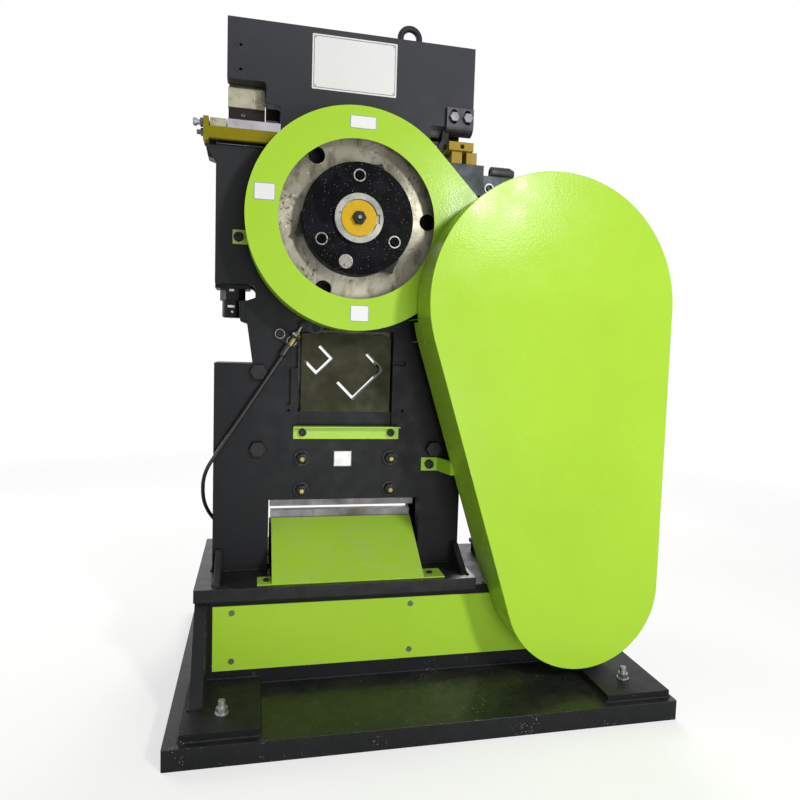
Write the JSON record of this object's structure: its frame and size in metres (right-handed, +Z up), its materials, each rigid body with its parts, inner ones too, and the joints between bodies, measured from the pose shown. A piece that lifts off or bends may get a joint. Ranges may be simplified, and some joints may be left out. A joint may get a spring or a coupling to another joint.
{
  "type": "punching and shearing machine",
  "caption": "Mechanical ironworker with punch throat, section shears, long shear and notching station, flywheel drive under a belt guard, on a pallet.",
  "frame": {"origin": "middle of the pallet's underside", "axes": "+X right along the drive side, +Y towards the operator's side, +Z up"},
  "size_m": [1.265, 0.9, 1.849],
  "materials": {
    "frame_paint": "satin dark grey machine enamel",
    "guard_paint": "gloss lime green powder coat",
    "table_paint": "gloss ochre yellow enamel",
    "cap_paint": "gloss orange yellow enamel",
    "machined_steel": "turned and ground steel, lightly oiled",
    "blade_steel": "hardened tool steel, oiled",
    "black_steel": "black oxide steel",
    "cast_black": "black phosphated casting",
    "flywheel_iron": "grey iron, painted web and turned rim",
    "bright_zinc": "bright zinc plate",
    "bronze": "bearing bronze, oiled",
    "belt_rubber": "wrapped V-belt rubber",
    "cable_sheath": "black extruded sheath",
    "motor_paint": "satin blue grey enamel"
  },
  "bodies": {
    "frame": {"pallet": "frame_paint", "base_frame": "frame_paint", "anchor_bolts": "bright_zinc", "front_panel": "guard_paint", "rear_panel": "guard_paint", "panel_screws": "bright_zinc", "frame_sole": "frame_paint", "drive_side_plate": "frame_paint", "operator_side_plate": "frame_paint", "frame_spacers": "frame_paint", "guide_strips": "bronze", "tie_bolts": "black_steel", "seat_bolts": "bright_zinc", "lifting_eye": "black_steel", "shaft_bushes": "bronze", "section_blade": "blade_steel", "window_filler": "machined_steel", "blade_bar": "guard_paint", "lower_shear_blade": "machined_steel", "scrap_chute": "guard_paint", "gear_guard": "guard_paint", "belt_guard": "guard_paint", "cover_screws": "black_steel", "drive_belts": "belt_rubber", "motor": "motor_paint", "motor_plate": "frame_paint", "table_angle": "table_paint", "table_adjusters": "bright_zinc", "support_bar": "machined_steel", "notch_bracket": "machined_steel", "notch_bolts": "bright_zinc", "notch_hold_down": "table_paint", "notch_die_block": "machined_steel", "stop_rod": "machined_steel", "clutch_bracket": "frame_paint", "clutch_cable": "cable_sheath", "cable_ferrules": "bright_zinc"},
    "gear": {"main_gear": "machined_steel", "clutch_disc": "cast_black", "disc_screws": "bright_zinc"},
    "eccentric": {"eccentric_shaft": "machined_steel", "shaft_nuts": "machined_steel", "shaft_cap": "cap_paint", "cap_bolt": "black_steel"},
    "yoke_block": {"slide_block": "bronze"},
    "ram": {"ram": "machined_steel", "moving_section_blade": "blade_steel", "upper_shear_blade": "machined_steel", "punch_holder": "black_steel", "upper_blade_holder": "machined_steel", "upper_left_blade": "blade_steel", "notch_punch": "machined_steel"},
    "idler": {"idler_shaft": "machined_steel", "idler_gear": "machined_steel"},
    "flywheel": {"flywheel_shaft": "machined_steel", "flywheel": "flywheel_iron"},
    "rotor": {"motor_shaft": "machined_steel", "motor_pulley": "flywheel_iron"},
    "lever": {"clutch_lever": "machined_steel"},
    "pedal": {"foot_pedal": "frame_paint"}
  },
  "joints": [
    {"name": "flywheel_spin", "type": "hinge", "parent": "frame", "child": "flywheel", "pos_m": [0.29893, -0.262, 1.05605], "axis": [0, 1, 0], "continuous": true},
    {"name": "idler_spin", "type": "hinge", "parent": "frame", "child": "idler", "pos_m": [0.12287, 0, 1.22786], "axis": [0, 1, 0], "continuous": true},
    {"name": "gear_spin", "type": "hinge", "parent": "frame", "child": "gear", "pos_m": [-0.1935, -0.144, 1.26], "axis": [0, 1, 0], "continuous": true},
    {"name": "motor_spin", "type": "hinge", "parent": "frame", "child": "rotor", "pos_m": [0.4, -0.262, 0.436], "axis": [0, 1, 0], "continuous": true},
    {"name": "eccentric_turn", "type": "hinge", "parent": "frame", "child": "eccentric", "pos_m": [-0.1935, 0, 1.26], "axis": [0, 1, 0], "range_deg": [0, 180]},
    {"name": "block_turn", "type": "hinge", "parent": "eccentric", "child": "yoke_block", "pos_m": [-0.1935, 0, 1.273], "axis": [0, 1, 0], "range_deg": [-180, 0]},
    {"name": "ram_slide", "type": "slide", "parent": "frame", "child": "ram", "axis": [0, 0, 1], "range_m": [-0.026, 0]},
    {"name": "pedal_press", "type": "hinge", "parent": "frame", "child": "pedal", "pos_m": [-0.47, -0.04, 0.19], "axis": [-1, 0, 0], "range_deg": [0, 10]},
    {"name": "lever_release", "type": "hinge", "parent": "frame", "child": "lever", "pos_m": [-0.285, -0.092, 0.985], "axis": [0, -1, 0], "range_deg": [0, 9]}
  ],
  "couplings": [
    {"joint": "idler_spin", "follows": "flywheel_spin", "ratio": -0.54717},
    {"joint": "gear_spin", "follows": "flywheel_spin", "ratio": 0.11192},
    {"joint": "motor_spin", "follows": "flywheel_spin", "ratio": 4.5},
    {"joint": "block_turn", "follows": "eccentric_turn", "ratio": -1},
    {"joint": "ram_slide", "follows": "eccentric_turn", "m_per_rad": -0.0082761},
    {"joint": "lever_release", "follows": "pedal_press", "ratio": 0.9}
  ]
}
